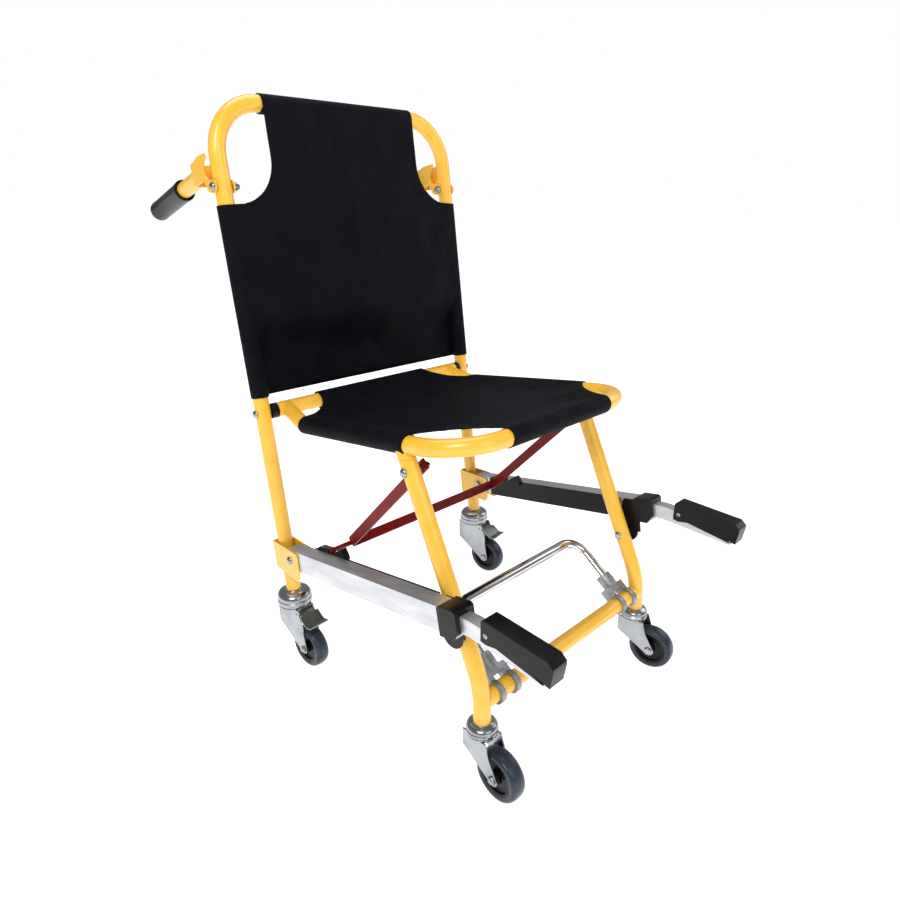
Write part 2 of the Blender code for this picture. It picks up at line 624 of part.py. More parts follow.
def build_collar(side, sx):
    """Moulded collar on the rail's end: a sleeve, an inner plate and the lobe that takes the leg's stud."""
    x = sx * UPRIGHT_X
    w, h = RAIL_W / 2 + GAP + COLLAR_T, RAIL_H / 2 + GAP + COLLAR_T
    d1 = RAIL_LENGTH + 0.006
    d0 = d1 - COLLAR_LENGTH
    outline = [(d0, -h), (d0, h - 0.003), (d0 + 0.004, h), (d1 - 0.004, h), (d1, h - 0.003),
               (d1, -h + 0.012), (d1 - 0.010, -h)]
    collar = prism_x([along_rail(d, -v)[1:] for d, v in outline], x - w, x + w)
    stud = STUD - C
    sd = -stud.y * math.cos(RAIL_ANGLE) + stud.z * math.sin(RAIL_ANGLE)
    sv = stud.y * math.sin(RAIL_ANGLE) + stud.z * math.cos(RAIL_ANGLE)
    plate_in = UPRIGHT_X - w
    plate = [(d0 - 0.020, h - 0.008), (d0 - 0.016, h - 0.004), (d0 + 0.010, h - 0.004),
             (d0 + 0.010, sv)] + arc(sd, sv, LOBE_R, 0, -180, 10)
    lobe = prism_x([along_rail(d, -v)[1:] for d, v in plate], sx * plate_in, sx * (plate_in + COLLAR_T))
    collar = join(collar, lobe)
    bore = bar([along_rail(d0 - 0.05, 0, x), along_rail(RAIL_LENGTH + GAP, 0, x)],
               box_section(RAIL_W + 2 * GAP, RAIL_H + 2 * GAP))
    mouth = bar([along_rail(d0, 0, x), along_rail(d1 + 0.02, 0, x)],
                box_section(HANDLE_W + 2 * GAP, HANDLE_H + 2 * GAP))
    piece(f"rail_collar_{side}", cut(collar, bore, mouth), BLACK, C)


def build_handle(side, sx):
    x = sx * UPRIGHT_X
    d1 = RAIL_LENGTH + 0.006
    bend = along_rail(d1 + HANDLE_BEND_AT, 0, x)
    nose = Vector((0, -math.cos(HANDLE_NOSE), math.sin(HANDLE_NOSE)))
    start = bend + nose * GRIP_GAP
    end = start + nose * GRIP_LENGTH
    path = rounded([along_rail(d1 - HANDLE_INSIDE, 0, x), bend, end - nose * 0.012], [0.05], 4)
    tube = pipe(path, box_section(HANDLE_W, HANDLE_H),
                box_section(HANDLE_W - 2 * HANDLE_WALL, HANDLE_H - 2 * HANDLE_WALL))
    piece(f"handle_tube_{side}", tube, ALU, bend)
    drop = Vector((0, nose.z, -nose.y)) * -1
    low, top = GRIP_H / 2, GRIP_H / 2
    profile = [(0.0, top - 0.006), (0.004, top), (GRIP_LENGTH - 0.010, top), (GRIP_LENGTH, top - 0.010),
               (GRIP_LENGTH - 0.001, -low - 0.002), (GRIP_LENGTH - 0.006, -low - 0.009),
               (GRIP_LENGTH - 0.013, -low - 0.008), (GRIP_LENGTH - 0.026, -low + 0.002),
               (0.020, -low + 0.001), (0.012, -low - 0.002), (0.0, -low)]
    yz = [(start + nose * d - drop * v)[1:] for d, v in profile]
    grip = prism_x(yz, x - GRIP_W / 2, x + GRIP_W / 2)
    grip = cut(grip, bar([start - nose * 0.02, end - nose * (0.012 - GAP)],
                         box_section(HANDLE_W + 2 * GAP, HANDLE_H + 2 * GAP)))
    piece(f"handle_grip_{side}", grip, BLACK, bend)


# ---------------------------------------------------------------- rear handles
def build_rear_handles():
    c, q = math.cos(REAR_TILT), math.sin(REAR_TILT)

    def at(h, n, x=0.0):
        """h along the handle from its pivot, n above it."""
        return REAR_PIVOT + Vector((x, h * c - n * q, h * q + n * c))

    n0, n1 = SLEEVE_OUT + 0.0016, REAR_RISE + 0.014      # the ears clear the sleeve when folded
    for side, sx in SIDES:
        x = sx * UPRIGHT_X
        ear = arc(0, 0, EAR_R, 90, 300, 8) + [(0.018, -0.003), (0.0262, n0), (REAR_WEB, n0), (REAR_WEB, n1)] + \
            [(0.030, n1 + 0.004), (0.006, n1 + 0.001), (0.004, n1 - 0.004)] + \
            arc(0.004, 0.0265, 0.0155, 60, -60, 8)
        clevis = prism_x([at(h, n)[1:] for h, n in ear], x - CLEVIS_OUT, x + CLEVIS_OUT)
        hollow = [(-0.03, -0.03), (REAR_WEB - SHEET, -0.03), (REAR_WEB - SHEET, 0.08), (-0.03, 0.08)]
        clevis = cut(clevis, prism_x([at(h, n)[1:] for h, n in hollow], x - CLEVIS_IN, x + CLEVIS_IN))
        grip0, end = REAR_GRIP, REAR_END
        tube = rod(at(REAR_WEB - SHEET / 2, REAR_RISE, x), at(end - 0.012, REAR_RISE, x), TUBE_R)
        clevis = cut(join(clevis, tube), rod(at(REAR_WEB + 0.004, REAR_RISE, x), at(end, REAR_RISE, x),
                                             TUBE_R - TUBE_WALL),
                     hole_x(REAR_PIVOT.y, REAR_PIVOT.z, x - 0.03, x + 0.03))
        piece(f"rear_handle_{side}", clevis, YELLOW, REAR_PIVOT)
        place = Matrix.Translation(at(0, REAR_RISE, x)) @ Matrix.Rotation(REAR_TILT, 4, "X") @ \
            Matrix.Rotation(-math.pi / 2, 4, "X")
        r, ri = REAR_GRIP_R, TUBE_R + GAP
        nose = [(r * math.cos(a), end - r * 0.8 + r * 0.8 * math.sin(a)) for a in
                [math.radians(t) for t in (0, 25, 50, 70)]]
        piece(f"rear_grip_{side}", lathe([(0, end - 0.012 + GAP), (ri, end - 0.012 + GAP), (ri, grip0),
                                          (r, grip0)] + nose + [(0, end)], place, n=20), BLACK, REAR_PIVOT)


# ---------------------------------------------------------------- casters
def build_casters():
    spots = [("rear", side, sx * UPRIGHT_X, 0.0, REAR_END_Z, REAR_CUP) for side, sx in SIDES] + \
            [("front", side, sx * LEG_X, LEG_FOOT_Y, FRONT_END_Z, FRONT_CUP) for side, sx in SIDES]
    for end, side, x, y, z, (cup_r, cup_h) in spots:
        name = f"{end}_{side}"
        body = (0, 0, 0) if end == "rear" else B
        spot = Vector((x, y, 0))
        cup_z = z - cup_h - GAP
        plate_z = cup_z - GAP
        # the stem follows the leg's own direction, so it is kept short
        lean = RECLINE if end == "rear" else 0.0
        cup = lathe([(0, cup_z - PLATE_T - 0.0046), (KING_R * 1.7, cup_z - PLATE_T - 0.0046),
                     (KING_R * 1.7, cup_z - PLATE_T - 2 * GAP), (KING_R, cup_z - PLATE_T - 2 * GAP),
                     (KING_R, cup_z), (cup_r * 0.9, cup_z), (cup_r, cup_z + cup_h * 0.25),
                     (cup_r, cup_z + cup_h * 0.6), (cup_r * 0.82, cup_z + cup_h * 0.92),
                     (cup_r * 0.6, z - 0.003), (0, z - 0.003)], Matrix.Translation(spot))
        axis = Matrix.Rotation(-lean, 4, "X")
        stem = rod(Vector((0, 0, -0.006)), Vector((0, 0, 0.025)), TUBE_R - TUBE_WALL - GAP)
        stem.transform(Matrix.Translation((x, y, z)) @ axis)
        piece(f"{name}_caster_cup", join(cup, stem), ZINC, body)
        turn = Matrix.Translation(spot) @ Matrix.Rotation(math.radians(CASTER_TURN[name]), 4, "Z")
        build_fork(name, end, turn, spot, plate_z, cup_r)
        build_wheel(name, turn)


def build_fork(name, end, turn, spot, plate_z, cup_r):
    z1, z0 = plate_z, plate_z - PLATE_T
    fx = FORK_GAP + FORK_T
    bore = (KING_R + RUN) / math.cos(math.pi / 16)
    fork = lathe([(bore, z0), (cup_r * 0.95, z0), (cup_r * 0.95, z1), (bore, z1)],
                 Matrix.Identity(4), ring=True)
    front = -0.030 if end == "rear" else -0.022
    leg = [(0.021, z1 - 0.0005), (0.021, z1 - 0.012), (0.012, (z1 + WHEEL_R) / 2 + 0.004)] + \
        arc(-TRAIL, WHEEL_R, 0.0085, 340, 190, 6) + [(front - 0.006, z1 - 0.022), (front, z1 - 0.0005)]
    tip = TRAIL
    for s in (-1, 1):
        fork = join(fork, prism_x(leg, s * FORK_GAP, s * fx))
        fork = join(fork, rod_x(-tip, WHEEL_R, s * (fx - 0.001), s * (fx + 0.0022), 0.0062, 12))
    fork = join(fork, rod_x(-tip, WHEEL_R, -FORK_GAP - 0.001, FORK_GAP + 0.001, PIN_R, 16))
    if end == "rear":
        hinge = (front + 0.0055, z1 - 0.0105)
        fork = join(fork, rod_x(*hinge, -FORK_GAP - 0.001, FORK_GAP + 0.001, 0.002, 12))
        build_pedal(name.split("_")[1], turn, hinge)
    fork.transform(turn)
    piece(f"{name}_fork", fork, ZINC, (spot.x, spot.y, plate_z))


def build_pedal(side, turn, hinge):
    y, z = hinge
    barrel = rod_x(y, z, -FORK_GAP + GAP, FORK_GAP - GAP, 0.0044, 16)
    sheet = [(y - 0.002, z + 0.0043), (y - 0.014, z + 0.002), (y - 0.030, z - 0.010), (y - 0.042, z - 0.008),
             (y - 0.042, z - 0.0106), (y - 0.0305, z - 0.0128), (y - 0.0135, z - 0.0006), (y - 0.002, z + 0.0014)]
    plate = prism_x(sheet, -FORK_GAP + GAP, FORK_GAP - GAP)
    wing = prism_x(sheet[1:-1], -0.019, 0.019)
    pedal = cut(join(barrel, plate, wing), hole_x(y, z, -0.02, 0.02, 0.002, 12))
    pedal.transform(turn)
    piece(f"brake_pedal_{side}", pedal, PEDAL, turn @ Vector((0, y, z)))


def build_wheel(name, turn):
    place = turn @ Matrix.Translation((0, -TRAIL, WHEEL_R)) @ TURN_X
    hub = turn @ Vector((0, -TRAIL, WHEEL_R))
    w = WHEEL_W / 2
    hub_w, web = FORK_GAP - 0.0008, w * 0.55
    core = [((PIN_R + RUN) / math.cos(math.pi / 20), -hub_w), (0.009, -hub_w), (0.010, -web), (CORE_R - 0.005, -web),
            (CORE_R - 0.003, -w * 0.85), (CORE_R, -w * 0.85)]
    core += [(r, -h) for r, h in core[::-1]]
    piece(f"{name}_wheel_core", lathe(core, place, ring=True, n=20), BLACK, hub)
    ri = CORE_R + 0.0001
    side = [(ri, -w * 0.9), (WHEEL_R - 0.006, -w), (WHEEL_R - 0.0025, -w * 0.84), (WHEEL_R - 0.0004, -w * 0.45)]
    tyre = side + [(WHEEL_R, 0)] + [(r, -h) for r, h in side[::-1]]
    piece(f"{name}_tyre", lathe(tyre, place, ring=True, n=20), TYRE, hub)


build_back()
build_seat()
build_legs()
build_brace()
build_footrest()
build_rails()
build_rear_handles()
build_casters()

# the origin goes to the middle of the footprint, at floor level
bpy.context.view_layer.update()
ys = [(ob.matrix_world @ v.co).y for ob in bpy.data.objects for v in ob.data.vertices]
for ob in bpy.data.objects:
    ob.location.y -= (min(ys) + max(ys)) / 2
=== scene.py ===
# %% [markdown]
# # A folding stair chair
# This lesson dresses a measured chair frame. We keep the parts whose shape is already right, and
# build smoother or softer ones for the tubes, casters, grips and canvas.

# %% Load the frame
import json
import math

import bmesh
import bpy
from mathutils import Matrix, Vector


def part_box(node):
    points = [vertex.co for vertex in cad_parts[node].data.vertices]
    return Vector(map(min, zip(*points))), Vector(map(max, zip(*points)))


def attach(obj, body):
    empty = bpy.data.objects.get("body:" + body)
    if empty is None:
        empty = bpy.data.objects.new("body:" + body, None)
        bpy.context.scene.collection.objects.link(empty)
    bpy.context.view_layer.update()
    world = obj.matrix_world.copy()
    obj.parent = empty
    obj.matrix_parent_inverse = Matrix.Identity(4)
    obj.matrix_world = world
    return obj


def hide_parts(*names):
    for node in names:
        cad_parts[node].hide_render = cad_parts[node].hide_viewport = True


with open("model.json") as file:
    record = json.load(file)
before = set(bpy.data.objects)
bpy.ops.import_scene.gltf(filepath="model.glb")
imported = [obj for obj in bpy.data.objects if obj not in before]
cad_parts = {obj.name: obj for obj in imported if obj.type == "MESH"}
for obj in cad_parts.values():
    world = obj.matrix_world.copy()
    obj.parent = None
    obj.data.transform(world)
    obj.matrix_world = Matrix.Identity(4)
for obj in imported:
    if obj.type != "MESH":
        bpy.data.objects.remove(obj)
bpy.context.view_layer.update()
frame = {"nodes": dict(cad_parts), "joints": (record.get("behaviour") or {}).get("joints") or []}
joints = {j["name"]: j for j in frame["joints"]}


def pin(name):
    """Where a joint's axis passes, as a point."""
    return Vector(joints[name]["pos_m"])


# %% [markdown]
# ## Where things are
# The chair hangs on a few points: the seat hinge, the leg hinge, the rail hinge and the four
# caster axes. Everything else is measured from them along the leaning uprights, so the points
# come from the joints and are never typed twice.

# %% Measures of the frame
TUBE = 0.0125                            # radius of the 25 mm tube
UPRIGHT_X = abs(pin("rear_left_swivel").x)
LEG_X = abs(pin("front_left_swivel").x)
LEAN = math.radians(6.8)
FOOT = Vector((0, pin("rear_left_swivel").y, 0.139))
SEAT, LEG = pin("seat_fold"), pin("front_leg_fold")
CROSS = pin("footrest_fold")
SIDES = (("left", -1), ("right", 1))


def upright(s, x=0.0, ahead=0.0):
    """A point s up the leaning uprights and some way ahead of them."""
    up = Vector((0, math.sin(LEAN), math.cos(LEAN)))
    front = Vector((0, -math.cos(LEAN), math.sin(LEAN)))
    return FOOT + up * s + front * ahead + Vector((x, 0, 0))


SEAT_FRONT = Vector((0, -0.386 + FOOT.y, 0.480))
SEAT_SLOPE = math.tan(math.radians(6.7))


def seat_side(y, x=0.0):
    """A point on the axis of the seat's side tubes."""
    return Vector((x, y, SEAT_FRONT.z + SEAT_SLOPE * (SEAT_FRONT.y - y)))


print("seat hinge", tuple(round(v, 3) for v in SEAT), "leg hinge", tuple(round(v, 3) for v in LEG))

# %% [markdown]
# ## The camera
# The camera stands a little above the chair, to the front and to its left, close enough for a
# strong perspective. We give it a place, a direction and a slight roll.

# %% Camera
eye = Vector((-0.6988, -0.7919, 0.7532))
look = Vector((0.6443, 0.6823, -0.3455)).normalized()
right = look.cross(Vector((0, 0, 1))).normalized()
up = right.cross(look)
roll = math.radians(-0.89)
side = right * math.cos(roll) + up * math.sin(roll)
top = side.cross(look)
camera = bpy.data.objects.new("camera", bpy.data.cameras.new("camera"))
camera.matrix_world = Matrix((side, top, -look)).transposed().to_4x4()
camera.location = eye
camera.data.lens, camera.data.sensor_width = 25.87, 36
bpy.context.scene.collection.objects.link(camera)
bpy.context.scene.camera = camera
print("camera", tuple(round(v, 3) for v in eye))

# %% [markdown]
# ## The studio
# A product picture has a white floor that runs into a white wall, big soft lights and nearly no
# shadow. A wide sheet of glowing paper is the floor, and the world is the white wall: it looks
# white to the camera, but lights the chair much less, so that the tubes keep their shading.

# %% Studio
WORLD_LIGHT, PAPER_GLOW = 0.30, 0.84
FLOOR_REACH = 30                          # far enough that its edge is out of sight


def lamp(name, place, target, size, power, tint=(1, 1, 1)):
    data = bpy.data.lights.new(name, "AREA")
    data.shape, data.size, data.energy, data.color = "SQUARE", size, power, tint
    ob = bpy.data.objects.new(name, data)
    ob.location = place
    ob.rotation_euler = (Vector(target) - Vector(place)).to_track_quat("-Z", "Y").to_euler()
    bpy.context.scene.collection.objects.link(ob)


lamp("key_light", (-1.8, -1.2, 2.3), (0, 0, 0.4), 1.2, 42)
lamp("front_light", (-0.2, -2.4, 1.5), (0, 0, 0.4), 1.2, 10)
lamp("side_light", (2.2, -0.9, 1.5), (0, 0, 0.4), 1.4, 12)
lamp("top_light", (0.2, 0.5, 2.8), (0, 0, 0.3), 1.6, 26)
world = bpy.data.worlds.new("studio")
world.use_nodes = True
nodes, links = world.node_tree.nodes, world.node_tree.links
fill = nodes["Background"]
fill.inputs["Color"].default_value = (1, 1, 1, 1)
fill.inputs["Strength"].default_value = WORLD_LIGHT
backdrop = nodes.new("ShaderNodeBackground")
backdrop.inputs["Color"].default_value = (1, 1, 1, 1)
backdrop.inputs["Strength"].default_value = 1.0
seen = nodes.new("ShaderNodeLightPath")
choose = nodes.new("ShaderNodeMixShader")
links.new(seen.outputs["Is Camera Ray"], choose.inputs["Fac"])
links.new(fill.outputs["Background"], choose.inputs[1])
links.new(backdrop.outputs["Background"], choose.inputs[2])
links.new(choose.outputs["Shader"], nodes["World Output"].inputs["Surface"])
bpy.context.scene.world = world
bpy.context.scene.view_settings.view_transform = "Standard"

bm = bmesh.new()
bmesh.ops.create_grid(bm, x_segments=1, y_segments=1, size=FLOOR_REACH)
floor_mesh = bpy.data.meshes.new("floor")
bm.to_mesh(floor_mesh)
bm.free()
floor = bpy.data.objects.new("floor", floor_mesh)
bpy.context.scene.collection.objects.link(floor)
paper = bpy.data.materials.new("white_paper")
paper.use_nodes = True
sheen = paper.node_tree.nodes["Principled BSDF"]
sheen.inputs["Base Color"].default_value = (0.85, 0.85, 0.86, 1)
sheen.inputs["Roughness"].default_value = 0.7
sheen.inputs["Specular IOR Level"].default_value = 0.1
sheen.inputs["Emission Color"].default_value = (1, 1, 1, 1)
sheen.inputs["Emission Strength"].default_value = PAPER_GLOW
floor_mesh.materials.append(paper)
print("studio ready")


# %% [markdown]
# ## A kit for finishes
# Every finish is a Principled shader with noise in Object coordinates: a little variation in
# colour, a little in roughness, and a bump of the right size. Object coordinates are in metres
# here, so a scale of 1000 makes grains of about a millimetre.

# %% Finish helper
def finish(name, dark, light, rough=(0.3, 0.4), grain=400, bump=0.02, depth=0.0003, stretch=None, **sockets):
    mat = bpy.data.materials.new(name)
    mat.use_nodes = True
    nodes, links = mat.node_tree.nodes, mat.node_tree.links
    shader = nodes["Principled BSDF"]
    place = nodes.new("ShaderNodeTexCoord").outputs["Object"]
    if stretch:
        turn = nodes.new("ShaderNodeMapping")
        turn.vector_type = "TEXTURE"
        turn.inputs["Rotation"].default_value = stretch[0]
        turn.inputs["Scale"].default_value = stretch[1]
        links.new(place, turn.inputs["Vector"])
        place = turn.outputs["Vector"]
    patches = nodes.new("ShaderNodeTexNoise")
    patches.inputs["Scale"].default_value = grain / 12
    patches.inputs["Detail"].default_value = 3
    fine = nodes.new("ShaderNodeTexNoise")
    fine.inputs["Scale"].default_value = grain
    fine.inputs["Detail"].default_value = 2
    for tex in (patches, fine):
        links.new(place, tex.inputs["Vector"])
    ramp = nodes.new("ShaderNodeValToRGB")
    ramp.color_ramp.elements[0].position, ramp.color_ramp.elements[1].position = 0.35, 0.65
    ramp.color_ramp.elements[0].color, ramp.color_ramp.elements[1].color = (*dark, 1), (*light, 1)
    links.new(patches.outputs["Fac"], ramp.inputs["Fac"])
    links.new(ramp.outputs["Color"], shader.inputs["Base Color"])
    spread = nodes.new("ShaderNodeMapRange")
    spread.inputs["To Min"].default_value, spread.inputs["To Max"].default_value = rough
    links.new(fine.outputs["Fac"], spread.inputs["Value"])
    links.new(spread.outputs["Result"], shader.inputs["Roughness"])
    relief = nodes.new("ShaderNodeBump")
    relief.inputs["Strength"].default_value, relief.inputs["Distance"].default_value = bump, depth
    links.new(fine.outputs["Fac"], relief.inputs["Height"])
    links.new(relief.outputs["Normal"], shader.inputs["Normal"])
    for key, value in sockets.items():
        shader.inputs[key.replace("_", " ")].default_value = value
    return mat


# %% [markdown]
# ## The finishes
# Powder coat is thick paint with a faint orange-peel skin under a clear gloss. The rails are
# satin anodised extrusion with draw lines along their length. Chrome and zinc are both plated
# steel, one mirror-like and one duller and a little milky.

# %% Finishes
DRAWN = ((math.radians(-9.8), 0, 0), (1, 6, 1))      # draw lines run along the rails

YELLOW = finish("powder_coat", (0.86, 0.455, 0.032), (0.91, 0.495, 0.045), (0.27, 0.38), 500, 0.12, 0.0002,
                Coat_Weight=0.35, Coat_Roughness=0.12)
RED = finish("brace_paint", (0.165, 0.004, 0.005), (0.215, 0.006, 0.007), (0.35, 0.5), 500, 0.1, 0.0002,
             Specular_IOR_Level=0.2)
BLACK = finish("black_moulding", (0.0022, 0.0022, 0.0030), (0.0040, 0.0040, 0.0052), (0.24, 0.40), 900, 0.15,
               0.0001, Specular_IOR_Level=0.20)
GRIP = finish("grip_rubber", (0.0024, 0.0024, 0.0034), (0.0042, 0.0042, 0.0058), (0.24, 0.40), 900, 0.25,
              0.0001, Specular_IOR_Level=0.20)
ALUMINIUM = finish("satin_aluminium", (0.50, 0.51, 0.54), (0.62, 0.63, 0.66), (0.34, 0.46), 900, 0.06,
                   0.0001, DRAWN, Metallic=0.85)
CHROME = finish("chrome_plate", (0.62, 0.63, 0.66), (0.70, 0.71, 0.73), (0.06, 0.12), 200, 0.02, 0.0001,
                Metallic=1.0)
ZINC = finish("zinc_plate", (0.26, 0.27, 0.29), (0.38, 0.40, 0.42), (0.16, 0.30), 300, 0.05, 0.0001,
              Metallic=1.0)
CAST = finish("cast_alloy", (0.24, 0.25, 0.26), (0.33, 0.34, 0.36), (0.38, 0.55), 900, 0.3, 0.0002,
              Metallic=0.7)
PEDAL = finish("pedal_plate", (0.16, 0.17, 0.16), (0.22, 0.24, 0.22), (0.30, 0.45), 500, 0.1, 0.0001,
               Metallic=0.8)
TYRE = finish("tyre_rubber", (0.016, 0.022, 0.034), (0.030, 0.040, 0.058), (0.20, 0.36), 500, 0.15, 0.0002,
              Specular_IOR_Level=0.3)
print("finishes:", len(bpy.data.materials))


# %% [markdown]
# ## Making a piece
# A modelled shape becomes a piece in one step: doubles are merged, normals point outwards, sharp
# edges stay sharp, it is hung on the body it rides on, and the plain solids it stands for are hidden.

# %% Piece helper
def piece(name, bm, body, mat, stands_for=(), angle=35, edge=0.0):
    bmesh.ops.remove_doubles(bm, verts=bm.verts, dist=1e-6)
    bmesh.ops.recalc_face_normals(bm, faces=bm.faces)
    mesh = bpy.data.meshes.new(name)
    bm.to_mesh(mesh)
    bm.free()
    mesh.materials.append(mat)
    mesh.shade_smooth()
    mesh.set_sharp_from_angle(angle=math.radians(angle))
    ob = bpy.data.objects.new(name, mesh)
    bpy.context.scene.collection.objects.link(ob)
    if edge:
        soften(ob, edge)
    if stands_for:
        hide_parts(*stands_for)
    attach(ob, body)
    return ob


def soften(ob, width):
    """A small rounding on every sharp edge, with shading that keeps the flats flat."""
    rounding = ob.modifiers.new("edges", "BEVEL")
    rounding.width, rounding.segments, rounding.limit_method = width, 3, "ANGLE"
    rounding.angle_limit = math.radians(38)
    rounding.profile = 0.5
    even = ob.modifiers.new("shading", "WEIGHTED_NORMAL")
    even.weight, even.keep_sharp = 60, False


def dress(node, mat, edge=0.0006):
    """A kept frame part: its triangles are welded, its edges softened and its finish laid on."""
    ob = frame["nodes"][node]
    if "custom_normal" in ob.data.attributes:
        ob.data.attributes.remove(ob.data.attributes["custom_normal"])
    ob.data.materials.clear()
    ob.data.materials.append(mat)
    ob.data.shade_smooth()
    weld = ob.modifiers.new("weld", "WELD")
    weld.merge_threshold = 1e-5
    soften(ob, edge)
    return ob


def rim(geometry):
    return [g for g in geometry if isinstance(g, bmesh.types.BMEdge)]


# %% [markdown]
# ## Bending tube
# Real tube is bent on a round former: straight, arc, straight. We work the same way. A circle is
# pushed along each straight with an extrude, and swung round each bend with a spin, so every
# bend is a true arc and the section never flattens.

# %% Tube bender
def bent_tube(corners, bends, radius=TUBE, sides=40, steps=14):
    corners = [Vector(c) for c in corners]
    heading = (corners[1] - corners[0]).normalized()
    bm = bmesh.new()
    place = Matrix.Translation(corners[0]) @ heading.to_track_quat("Z", "Y").to_matrix().to_4x4()
    ring = bmesh.ops.create_circle(bm, cap_ends=False, segments=sides, radius=radius, matrix=place)["verts"]
    edges = list({e for v in ring for e in v.link_edges})
    bmesh.ops.contextual_create(bm, geom=edges)
    here = corners[0]
    for i, corner in enumerate(corners[1:], 1):
        out = heading
        stop = corner
        if i < len(corners) - 1:
            out = (corners[i + 1] - corner).normalized()
            turn = heading.angle(out)
            stop = corner - heading * bends[i - 1] * math.tan(turn / 2)
        grown = bmesh.ops.extrude_edge_only(bm, edges=edges)["geom"]
        fresh = {g for g in grown if isinstance(g, bmesh.types.BMVert)}
        bmesh.ops.translate(bm, verts=list(fresh), vec=stop - here)
        edges = [e for e in rim(grown) if set(e.verts) <= fresh]
        here = stop
        if i < len(corners) - 1:
            axis = heading.cross(out).normalized()
            centre = stop + axis.cross(heading) * bends[i - 1]
            swung = bmesh.ops.spin(bm, geom=edges, cent=centre, axis=axis, angle=turn, steps=steps,
                                   use_duplicate=False, use_merge=False)["geom_last"]
            edges = rim(swung)
            here = centre + Matrix.Rotation(turn, 3, axis) @ (stop - centre)
            heading = out
    bmesh.ops.contextual_create(bm, geom=edges)
    return bm


def turned(profile, place, sides=48):
    """A profile of (radius, height) swung a full turn about local Z, then put in place."""
    bm = bmesh.new()
    points = [bm.verts.new((r, 0, h)) for r, h in profile]
    edges = [bm.edges.new(pair) for pair in zip(points, points[1:])]
    bmesh.ops.spin(bm, geom=points + edges, cent=(0, 0, 0), axis=(0, 0, 1), angle=math.tau, steps=sides,
                   use_merge=True, use_duplicate=False)
    bmesh.ops.remove_doubles(bm, verts=bm.verts, dist=1e-6)
    bmesh.ops.transform(bm, matrix=place, verts=bm.verts)
    return bm


def plate(outline, x0, x1):
    """A flat (y, z) outline pushed from x0 to x1."""
    bm = bmesh.new()
    points = [bm.verts.new((x0, y, z)) for y, z in outline]
    face = bmesh.ops.contextual_create(bm, geom=points)["faces"]
    grown = bmesh.ops.extrude_face_region(bm, geom=face)["geom"]
    moved = [g for g in grown if isinstance(g, bmesh.types.BMVert)]
    bmesh.ops.translate(bm, verts=moved, vec=(x1 - x0, 0, 0))
    return bm


def together(*parts):
    """Several shapes joined into one mesh."""
    whole, carrier = bmesh.new(), bpy.data.meshes.new("carrier")
    for part in parts:
        part.to_mesh(carrier)
        part.free()
        whole.from_mesh(carrier)
    bpy.data.meshes.remove(carrier)
    return whole


# %% [markdown]
# ## Back frame and seat frame
# The back is one hoop of tube bent twice. The seat is another hoop that lies flat, with a dip
# near the back, welded to a cross tube between two black bushes.

# %% Hoops
hoop = bent_tube([upright(0, -UPRIGHT_X), upright(0.778, -UPRIGHT_X), upright(0.778, UPRIGHT_X),
                  upright(0, UPRIGHT_X)], [0.078, 0.078])
piece("back_hoop", hoop, "back_frame", YELLOW, ["back_frame_tube"])

kink = FOOT.y - 0.030
corners = [Vector((-LEG_X + 0.010, SEAT.y, SEAT.z)), seat_side(kink, -LEG_X),
           seat_side(SEAT_FRONT.y, -LEG_X)]
corners += [Vector((-c.x, c.y, c.z)) for c in corners[::-1]]
piece("seat_hoop", bent_tube(corners, [0.04, 0.077, 0.077, 0.04]), "seat", YELLOW,
      ["seat_frame_tube"])
low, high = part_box("seat_cross_tube")
piece("seat_crossbar", bent_tube([(low.x, SEAT.y, SEAT.z), (high.x, SEAT.y, SEAT.z)], []), "seat", YELLOW,
      ["seat_cross_tube"])

# %% [markdown]
# ## Parts that keep their frame shape
# Folded brackets, lap-jointed legs and extruded rails already have the right shape. They only
# need their edges rounded, because a perfectly sharp edge never catches the light. The collars
# have short edges round their lobes, so their rounding is smaller.

# %% Kept parts
def both(*names):
    """Each name on the left and on the right."""
    return [f"{name}_{side}" for name in names for side, _ in SIDES]


KEPT = {
    (YELLOW, "yellow_paint", 0.0006): both("rail_bracket", "seat_lug", "front_leg", "rear_handle")
    + ["front_cross_tube"],
    (ALUMINIUM, "aluminium", 0.0009): both("rail", "handle_tube"),
    (BLACK, "black_moulding", 0.0008): both("rail_channel", "seat_bush"),
    (BLACK, "black_moulding", 0.0004): both("rail_collar"),
    (RED, "red_paint", 0.0008): ["brace"],
    (CAST, "cast_alloy", 0.0010): both("footrest_clamp"),
    (ZINC, "zinc", 0.0004): both("rail_bolt", "seat_bolt", "rear_handle_bolt", "leg_bolt", "rail_stud"),
    (PEDAL, "pedal", 0.0005): both("brake_pedal"),
}
for (mat, slot, edge), names in KEPT.items():
    for name in names:
        dress(name, mat, edge)
print("kept", sum(len(v) for v in KEPT.values()), "frame parts")

# %% [markdown]
# ## Casters
# Each caster has a pressed cup round its ball race, a solid core and a moulded tyre. They are
# all turned shapes, so each is one profile swung round its axis. The wheel's axis comes from its
# spin joint, which also carries the way that the caster happens to be turned. The fork is a
# pressed plate under the cup with two wide cheeks that narrow to the axle.

# %% Caster fork
TRAIL, WHEEL_R = 0.036, 0.0375            # swivel axis to axle, and the wheel's radius
CHEEK, CHEEK_T = 0.0142, 0.0025           # from the wheel's middle to a cheek, and its sheet


def facing(way, x, y, z):
    """Turns local Z to look along +X or -X, for heads and nuts on the side of something."""
    return Matrix.Translation((x, y, z)) @ Matrix.Rotation(way * math.pi / 2, 4, "Y")


